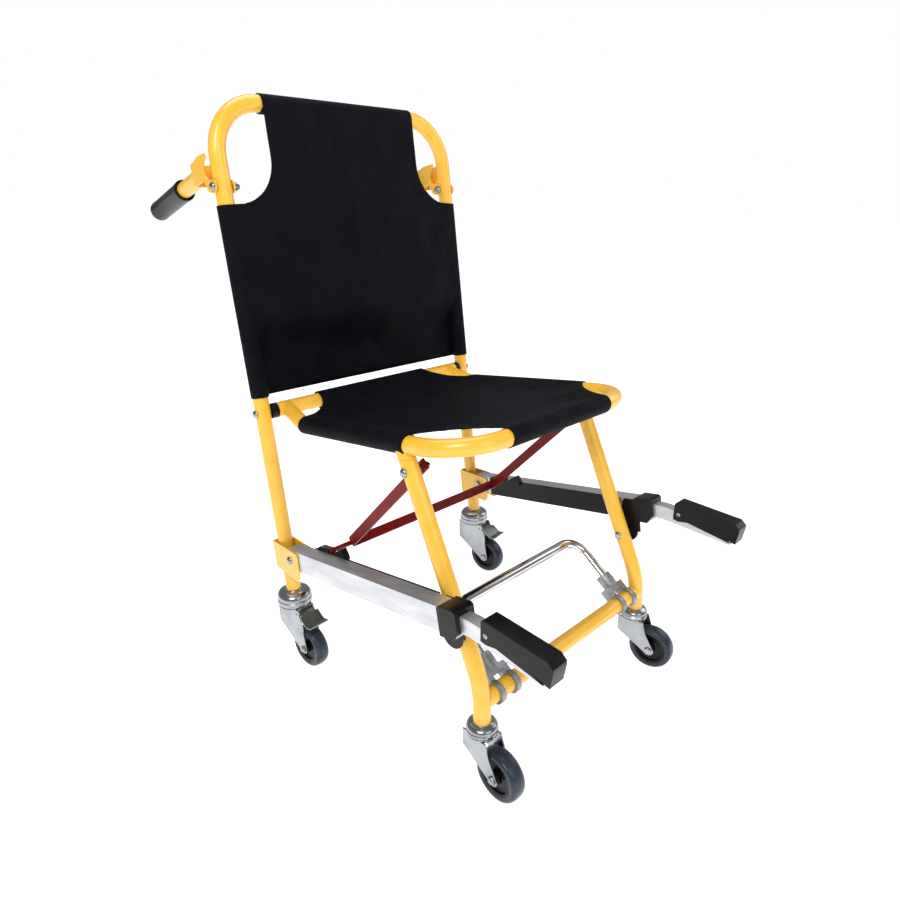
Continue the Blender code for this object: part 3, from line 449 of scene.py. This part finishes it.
def caster_fork(top, disc, lip, pedal_pin):
    """A fork whose swivel axis is local Z and whose wheel trails towards local -Y."""
    boss = [(-TRAIL + 0.0095 * math.cos(a), WHEEL_R + 0.0095 * math.sin(a))
            for a in (math.radians(-35 - 145 * k / 10) for k in range(11))]
    cheek = [(disc, top - 0.0006), (disc, top - 0.55 * (top - WHEEL_R))] + boss
    cheek += [(-lip - 0.007, top - 0.022), (-lip, top - 0.0006)]
    parts = [turned([(0, top - 0.003), (disc, top - 0.003), (disc, top), (0, top), (0, top - 0.003)],
                    Matrix.Identity(4))]
    nut = [(0, 0), (0.0064, 0), (0.0064, 0.0022), (0.0050, 0.0036), (0.0040, 0.0040), (0, 0.0042), (0, 0)]
    head = [(0, 0), (0.0060, 0), (0.0058, 0.0016), (0.0040, 0.0028), (0, 0.0032), (0, 0)]
    small_head = [(r * 0.5, h * 0.4) for r, h in head]
    for way, profile, sides in ((-1, nut, 6), (1, head, 24)):
        outside = way * (CHEEK + CHEEK_T)
        parts.append(plate(cheek, way * CHEEK, outside))
        parts.append(turned(profile, facing(way, outside, -TRAIL, WHEEL_R), sides))
        if pedal_pin:
            parts.append(turned(small_head, facing(way, outside, *pedal_pin), 16))
    return together(*parts)


# %% Wheel and cup profiles
def both_faces(half, middle=()):
    """A wheel's profile from its half, the same on both faces and closed on itself."""
    return half + list(middle) + [(r, -h) for r, h in half[::-1]] + [half[0]]


TREAD = both_faces([(0.0276, -0.0113), (0.0305, -0.0125), (0.0325, -0.0124), (0.0347, -0.0113),
                    (0.0362, -0.0090), (0.0371, -0.0055)], [(WHEEL_R, 0)])
HUB = both_faces([(0.0041, -0.0134), (0.0085, -0.0134), (0.0095, -0.0125), (0.0100, -0.0072),
                  (0.0120, -0.0066), (0.0205, -0.0066), (0.0222, -0.0072), (0.0235, -0.0104),
                  (0.0250, -0.0110), (0.0275, -0.0110)])
CUP_TOP = {"front": 0.1045, "rear": 0.139}           # where the leg or upright ends
CUP_H = {"front": 0.0163, "rear": 0.0263}
FORK_LIP = {"front": 0.022, "rear": 0.030}           # the fork's reach over its wheel


def race_cup(r, top, h):
    """A pressed cup: two rolled rings with a groove between them, then a shoulder up to the stem."""
    z0 = top - h
    rings = [(0.93, 0.10), (1.0, 0.14), (1.0, 0.34), (0.965, 0.40), (0.965, 0.44), (0.99, 0.50),
             (0.97, 0.66), (0.90, 0.80), (0.78, 0.91)]
    return [(0, z0), (r * 0.90, z0), (r * 0.93, z0 + 0.0006)] + [(r * a, z0 + h * b) for a, b in rings] + \
        [(0.0140, z0 + h * 0.97), (0.0134, z0 + h), (0, z0 + h)]


# %% Casters
for end, carrier in (("front", "front_legs"), ("rear", "back_frame")):
    for side, _ in SIDES:
        name = f"{end}_{side}"
        spin = joints[f"{name}_wheel_spin"]
        axle = Vector(spin["axis"]).normalized()
        hub_place = Matrix.Translation(spin["pos_m"]) @ axle.to_track_quat("Z", "Y").to_matrix().to_4x4()
        piece(f"{name}_tread", turned(TREAD, hub_place, 64), f"{name}_wheel", TYRE,
              [f"{name}_tyre"], 50)
        piece(f"{name}_hub", turned(HUB, hub_place, 48), f"{name}_wheel", BLACK,
              [f"{name}_wheel_core"], 30)
        low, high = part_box(f"{name}_caster_cup")
        cup_r = (high.x - low.x) / 2
        swivel = pin(f"{name}_swivel")
        spot = Matrix.Translation((swivel.x, swivel.y, 0))
        fork_top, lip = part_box(f"{name}_fork")[1].z, FORK_LIP[end]
        pedal_pin = (-lip + 0.0055, fork_top - 0.0105) if end == "rear" else None
        fork = caster_fork(fork_top, cup_r * 0.95, lip, pedal_pin)
        turn = spot @ Matrix.Rotation(math.atan2(axle.y, axle.x), 4, "Z")
        bmesh.ops.transform(fork, matrix=turn, verts=fork.verts)
        piece(f"{name}_yoke", fork, f"{name}_fork", ZINC, [f"{name}_fork"], 35, 0.0006)
        cup = race_cup(cup_r, CUP_TOP[end], CUP_H[end])
        piece(f"{name}_race", turned(cup, spot, 56), carrier, ZINC, [f"{name}_caster_cup"], 30)
print("casters done")

# %% [markdown]
# ## Grips and footrest
# The front grips are moulded sleeves with a hooked nose under the front. Their outline is a flat
# shape pushed across, then every edge is rounded, and a plated rivet goes in each face near the
# mouth. The footrest is a chromed hoop that starts inside its two clamps. The rear grips are
# turned, with a ring at the mouth.

# %% Front grips
NOSE_TILT = math.radians(-3)
GRIP_HALF = 0.0128                        # half the grip's width
GRIP_SIDE = [(0.0, 0.0115), (0.003, 0.0150), (0.098, 0.0150), (0.1065, 0.0085), (0.1070, 0.0030),
             (0.1045, -0.0190), (0.0960, -0.0200), (0.0820, -0.0130), (0.0260, -0.0130), (0.0100, -0.0170),
             (0.0010, -0.0160)]                      # distance from the mouth, height
RIVET = [(0, 0.0002), (0.0016, 0.0002), (0.0019, 0.0010), (0.0027, 0.0012), (0.0034, 0.0008),
         (0.0036, -0.0010), (0, -0.0010), (0, 0.0002)]
for side, sx in SIDES:
    low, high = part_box(f"handle_grip_{side}")
    ahead = Vector((0, -math.cos(NOSE_TILT), math.sin(NOSE_TILT)))
    over = Vector((0, math.sin(NOSE_TILT), math.cos(NOSE_TILT)))
    mouth = Vector((0, high.y - 0.0008, low.z + 0.0430))
    outline = [(mouth + ahead * d + over * v)[1:] for d, v in GRIP_SIDE]
    shape = plate(outline, sx * UPRIGHT_X - GRIP_HALF, sx * UPRIGHT_X + GRIP_HALF)
    piece(f"front_grip_{side}", shape, f"handle_{side}", GRIP, [f"handle_grip_{side}"], 35, 0.0030)
    spot = mouth + ahead * 0.0095 + over * -0.004
    for way, where in ((sx, "out"), (-sx, "in")):
        rivet = turned(RIVET, facing(way, sx * UPRIGHT_X + way * GRIP_HALF, spot.y, spot.z), 24)
        piece(f"grip_rivet_{side}_{where}", rivet, f"handle_{side}", ZINC)
print("front grips done")

# %% Footrest
FOOT_BAR = Vector((0, -0.320 + FOOT.y, 0.2125))      # the hoop's far bar
SOCKET_DEPTH = 0.026                      # from the cross tube's axis to the hoop's ends
clamp_low, clamp_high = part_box("footrest_clamp_right")
arm_x = (clamp_low.x + clamp_high.x) / 2
reach = FOOT_BAR - CROSS
root = CROSS + reach.normalized() * SOCKET_DEPTH
corners = [root + Vector((-arm_x, 0, 0)), CROSS + reach + Vector((-arm_x, 0, 0)),
           CROSS + reach + Vector((arm_x, 0, 0)), root + Vector((arm_x, 0, 0))]
piece("footrest_hoop", bent_tube(corners, [0.034, 0.034], 0.009, 36), "footrest", CHROME,
      ["footrest_bar"])
print("footrest arms at", round(arm_x, 4))

# %% Rear grips
REAR_TILT = math.radians(-14.5)
REAR_RISE = 0.034                         # the handle's axis above its hinge
SLEEVE_R, SLEEVE_START, SLEEVE_END = 0.0165, 0.134, 0.266


def rear_sleeve(r, a, b):
    """A hollow sleeve with a raised ring at its mouth and a domed end."""
    return [(0.0128, a), (r, a), (r + 0.0004, a + 0.002), (r + 0.0004, a + 0.007),
            (r - 0.0004, a + 0.009), (r - 0.0004, b - 0.016), (r, b - 0.013), (r * 0.97, b - 0.008),
            (r * 0.84, b - 0.004), (r * 0.60, b - 0.0012), (0, b), (0, b - 0.010), (0.0128, b - 0.010),
            (0.0128, a)]


for side, sx in SIDES:
    hinge = pin(f"rear_handle_fold_{side}")
    along = Vector((0, math.cos(REAR_TILT), math.sin(REAR_TILT)))
    above = Vector((0, -math.sin(REAR_TILT), math.cos(REAR_TILT)))
    base = Matrix.Translation(hinge + above * REAR_RISE) @ along.to_track_quat("Z", "Y").to_matrix().to_4x4()
    piece(f"rear_sleeve_{side}", turned(rear_sleeve(SLEEVE_R, SLEEVE_START, SLEEVE_END), base),
          f"rear_handle_{side}", GRIP, [f"rear_grip_{side}"], 40)
print("rear grips done")

# %% [markdown]
# ## Canvas
# Back and seat are each one cut of heavy coated canvas, sewn into sleeves round the tubes. We lay
# out a grid whose columns follow the curved cut, wrap its edges round the tubes, and let the
# cloth solver settle the free middle: the sleeves are pinned, and a trace of extra cloth gives
# the shallow folds of a sheet that has been sat in.

# %% Canvas finish
THREADS = 260                             # how fine the weave is


def canvas_finish():
    mat = finish("canvas_cloth", (0.0018, 0.0018, 0.0040), (0.0034, 0.0034, 0.0072), (0.55, 0.75), 260, 0.3,
                 0.0004, Specular_IOR_Level=0.08)
    nodes, links = mat.node_tree.nodes, mat.node_tree.links
    cut = nodes.new("ShaderNodeUVMap")
    cut.uv_map = "cut"
    weave = []
    for way in ("X", "Y"):
        thread = nodes.new("ShaderNodeTexWave")
        thread.bands_direction = way
        thread.inputs["Scale"].default_value = THREADS
        thread.inputs["Distortion"].default_value = 0.6
        thread.inputs["Detail"].default_value = 1
        links.new(cut.outputs["UV"], thread.inputs["Vector"])
        weave.append(thread)
    both = nodes.new("ShaderNodeMath")
    both.operation = "MULTIPLY"
    for i, thread in enumerate(weave):
        links.new(thread.outputs["Fac"], both.inputs[i])
    relief = nodes.new("ShaderNodeBump")
    relief.inputs["Strength"].default_value, relief.inputs["Distance"].default_value = 0.5, 0.0003
    links.new(both.outputs["Value"], relief.inputs["Height"])
    shader = nodes["Principled BSDF"]
    first = shader.inputs["Normal"].links[0].from_node
    links.new(first.outputs["Normal"], relief.inputs["Normal"])
    links.new(relief.outputs["Normal"], shader.inputs["Normal"])
    return mat


CANVAS = canvas_finish()


# %% [markdown]
# The cut is drawn in rows. For every row we know how far the cloth reaches to each side, and
# which rows carry side sleeves. A wrapped edge is an arc about the tube's axis: it starts where
# the sheet leaves the tube and goes on round the far side until it meets the sheet again.

# %% Laying out a cut
WRAP = 0.0138                             # radius of the cloth round a tube
WRAP_STEPS = 14
WRAP_TURN = math.radians(320)             # how far round the tube the cloth is sewn


def wrap(k, start=0.0):
    """How far past the tube's axis, and how far off its crown, after k steps round the tube.

    The cloth leaves the tube at an angle start inside its crown.
    """
    a = WRAP_TURN * k / WRAP_STEPS - start
    return WRAP * math.sin(a), WRAP * (1 - math.cos(a))


def lay_out(name, rows, columns, width_at, place, sleeved, end_wraps, leaves=lambda along: 0.0):
    """Rows are distances along the cut. place(x, along, lift) gives the point in the frame."""
    bm = bmesh.new()
    n, m = columns + 2 * WRAP_STEPS, len(rows) + sum(WRAP_STEPS for e in end_wraps if e)
    bmesh.ops.create_grid(bm, x_segments=n, y_segments=m - 1, size=1)
    before = WRAP_STEPS if end_wraps[0] else 0
    uv, hold = bm.loops.layers.uv.new("cut"), bm.verts.layers.float.new("free")
    flat, free, doomed = {}, [], []
    for v in bm.verts:
        i = round((v.co.x + 1) / 2 * n)
        j = round((v.co.y + 1) / 2 * (m - 1)) - before
        row = min(max(j, 0), len(rows) - 1)
        along, lift = rows[row], 0.0
        past = abs(j - row)
        if past:
            way, rise = wrap(past)
            along += way * (1 if j > row else -1)
            lift += rise
        start = leaves(rows[row])
        inset, sunk = wrap(0, start)
        half = width_at(rows[row]) + inset
        lift += sunk
        k = i - WRAP_STEPS
        inner = min(max(k, 0), columns)
        x = half * (2 * inner / columns - 1)
        beyond = abs(k - inner)
        if beyond:
            way, rise = wrap(beyond, start)
            x += (way - inset) * (1 if k > inner else -1)
            lift += rise - sunk
            if past or not sleeved(rows[row]):
                doomed.append(v)
        elif not past and 0 < inner < columns and 0 < row < len(rows) - 1:
            free.append(v)
        flat[v] = (x + beyond * 0.005 * (1 if k > inner else -1), rows[row] + past * 0.005)
        v.co = place(x, along, lift)
    for face in bm.faces:
        for loop in face.loops:
            loop[uv].uv = flat[loop.vert]
    for v in free:
        v[hold] = 1.0
    bmesh.ops.delete(bm, geom=doomed, context="VERTS")
    mesh = bpy.data.meshes.new(name)
    bm.to_mesh(mesh)
    bm.free()
    ob = bpy.data.objects.new(name, mesh)
    bpy.context.scene.collection.objects.link(ob)
    print(name, len(mesh.vertices), "points,", len(free), "free")
    return ob


# %% Settling the cloth
def settle(ob, gravity, slack, frames=24, cap=0.006):
    """Runs the cloth solver with everything pinned except the open middle of the sheet."""
    start = [v.co.copy() for v in ob.data.vertices]
    group = ob.vertex_groups.new(name="held")
    for i, value in enumerate(ob.data.attributes["free"].data):
        group.add([i], 0.0 if value.value > 0.5 else 1.0, "REPLACE")
    cloth = ob.modifiers.new("cloth", "CLOTH")
    data = cloth.settings
    data.vertex_group_mass = "held"
    data.quality, data.mass = 6, 0.35
    data.tension_stiffness = data.compression_stiffness = 40
    data.shear_stiffness, data.bending_stiffness = 20, 2.0
    data.shrink_min = -slack
    data.effector_weights.gravity = gravity
    cloth.collision_settings.use_collision = False
    cloth.point_cache.frame_start, cloth.point_cache.frame_end = 1, frames
    for f in range(1, frames + 1):
        bpy.context.scene.frame_set(f)
    settled = ob.evaluated_get(bpy.context.evaluated_depsgraph_get()).to_mesh()
    moved = [v.co.copy() for v in settled.vertices]
    ob.modifiers.remove(cloth)
    bpy.context.scene.frame_set(1)
    for v, a, b in zip(ob.data.vertices, start, moved):
        push = b - a
        v.co = a + push * min(1.0, cap / max(push.length, 1e-9))
    print(ob.name, "moved at most", round(max((b - a).length for a, b in zip(start, moved)) * 1000, 1), "mm")


def sew(ob, body, stands_for, thickness=0.0014):
    """Gives settled cloth its thickness, finish and body."""
    ob.data.materials.append(CANVAS)
    ob.data.shade_smooth()
    wall = ob.modifiers.new("cloth_thickness", "SOLIDIFY")
    wall.thickness, wall.offset = thickness, 0.0
    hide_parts(*stands_for)
    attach(ob, body)


# %% [markdown]
# The sheet lies over the front of the uprights and is sewn round behind them. Low down it has
# been pushed back between the tubes by use, which also leaves room for the folded seat. Above the
# shoulders the cut narrows in two arcs to the neck, which is sewn over the top tube.

# %% Back canvas
BACK_LOW, SHOULDER, TOP_S = 0.340, 0.632, 0.778
NECK, NECK_R = 0.147, 0.068


def back_width(s):
    if s <= SHOULDER:
        return UPRIGHT_X
    d = NECK_R - min(s - SHOULDER, NECK_R)
    return NECK + NECK_R - math.sqrt(NECK_R ** 2 - d ** 2)


def back_leaves(s):
    """The angle round the tube where the sheet leaves it: the crown, or low down the inner rear."""
    t = min(max((0.482 - s) / 0.090, 0.0), 1.0)
    return math.radians(155) * t * t * (3 - 2 * t)


def back_place(x, s, lift):
    return upright(s, x, WRAP - lift)


rows = [BACK_LOW + (SHOULDER - BACK_LOW) * k / 44 for k in range(45)]
rows += [SHOULDER + NECK_R * (1 - math.cos(math.radians(90 * k / 14))) for k in range(1, 15)]
rows += [rows[-1] + (TOP_S - rows[-1]) * k / 10 for k in range(1, 11)]
back = lay_out("back_cloth", rows, 60, back_width, back_place, lambda s: s <= SHOULDER + 1e-6, (False, True),
                back_leaves)
settle(back, 0.0, 0.004)
sew(back, "back_frame", ["back_canvas"])

# %% [markdown]
# The seat lies on top of its tubes, and its four corners are cut away in arcs so that the bends
# of the hoop stay bare.

# %% Seat canvas
FRONT_Y, REAR_Y = SEAT_FRONT.y, SEAT.y


def corner(y, edge_y, off_x, off_y, radius):
    d = y - (edge_y + off_y)
    return LEG_X + off_x - math.sqrt(max(radius ** 2 - d ** 2, 0.0))


def seat_width(y):
    wide = LEG_X
    if abs(y - FRONT_Y + 0.0594) < 0.175:
        wide = min(wide, corner(y, FRONT_Y, 0.0807, -0.0594, 0.175))
    if abs(y - REAR_Y - 0.0096) < 0.083:
        wide = min(wide, corner(y, REAR_Y, 0.011, 0.0096, 0.083))
    return wide


def seat_place(x, y, lift):
    line = seat_side(y) if y < kink else SEAT.lerp(seat_side(kink), min((SEAT.y - y) / (SEAT.y - kink), 1.0))
    return Vector((x, y, line.z + WRAP - lift))


REAR_STOP, FRONT_STOP = REAR_Y + 0.0096 - 0.0823, FRONT_Y - 0.0594 + 0.1553
rows = [REAR_Y - (REAR_Y - REAR_STOP) * math.sin(math.radians(90 * k / 16)) for k in range(17)]
rows += [REAR_STOP + (FRONT_STOP - REAR_STOP) * k / 40 for k in range(1, 41)]
rows += [FRONT_STOP + (FRONT_Y - FRONT_STOP) * k / 16 for k in range(1, 17)]
seat = lay_out("seat_cloth", rows[::-1], 60, seat_width, seat_place,
               lambda y: FRONT_STOP - 1e-6 <= y <= REAR_STOP + 1e-6, (True, True))
settle(seat, 0.05, 0.006, cap=0.010)
sew(seat, "seat", ["seat_canvas"])
